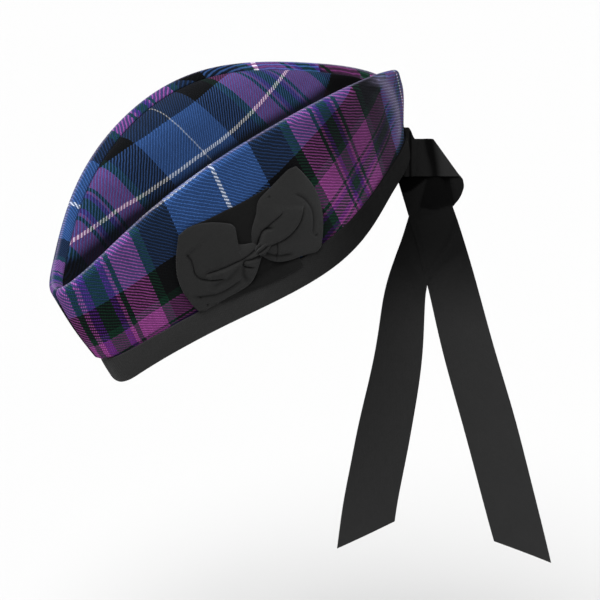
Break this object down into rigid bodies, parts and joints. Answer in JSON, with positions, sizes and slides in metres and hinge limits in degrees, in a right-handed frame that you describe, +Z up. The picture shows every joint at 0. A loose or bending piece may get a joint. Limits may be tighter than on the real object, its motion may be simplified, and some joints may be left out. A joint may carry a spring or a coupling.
{
  "type": "glengarry cap",
  "caption": "Boat-shaped tartan cap with a folded crown, a black binding, a ribbon cockade on the left side and hanging ribbon tails at the back.",
  "frame": {"origin": "centre of the head opening, in the plane of the binding's lower edge, where the head goes in", "axes": "+Z up as worn, with the ribbon tails hanging along -Z; -X towards the front of the cap, -Y the side with the cockade; the cap is tipped nose down about Y by 29.6 degrees, as it is worn"},
  "size_m": [0.319, 0.1336, 0.2976],
  "materials": {
    "tartan_cloth": "wool twill in a blue, black, green and purple tartan with a fine white line, soft hazy nap",
    "binding": "matt black woven binding",
    "cockade_ribbon": "matt charcoal-black ribbon with a fine plain weave",
    "tail_ribbon": "matt black ribbon with a fine cross rib"
  },
  "bodies": {
    "root": {"side_left": "tartan_cloth", "side_right": "tartan_cloth", "crown": "tartan_cloth", "band": "binding", "cockade_back": "cockade_ribbon", "cockade_lobe_front": "cockade_ribbon", "cockade_lobe_rear": "cockade_ribbon", "cockade_knot": "cockade_ribbon", "tail_left": "tail_ribbon", "tail_right": "tail_ribbon"}
  },
  "joints": []
}
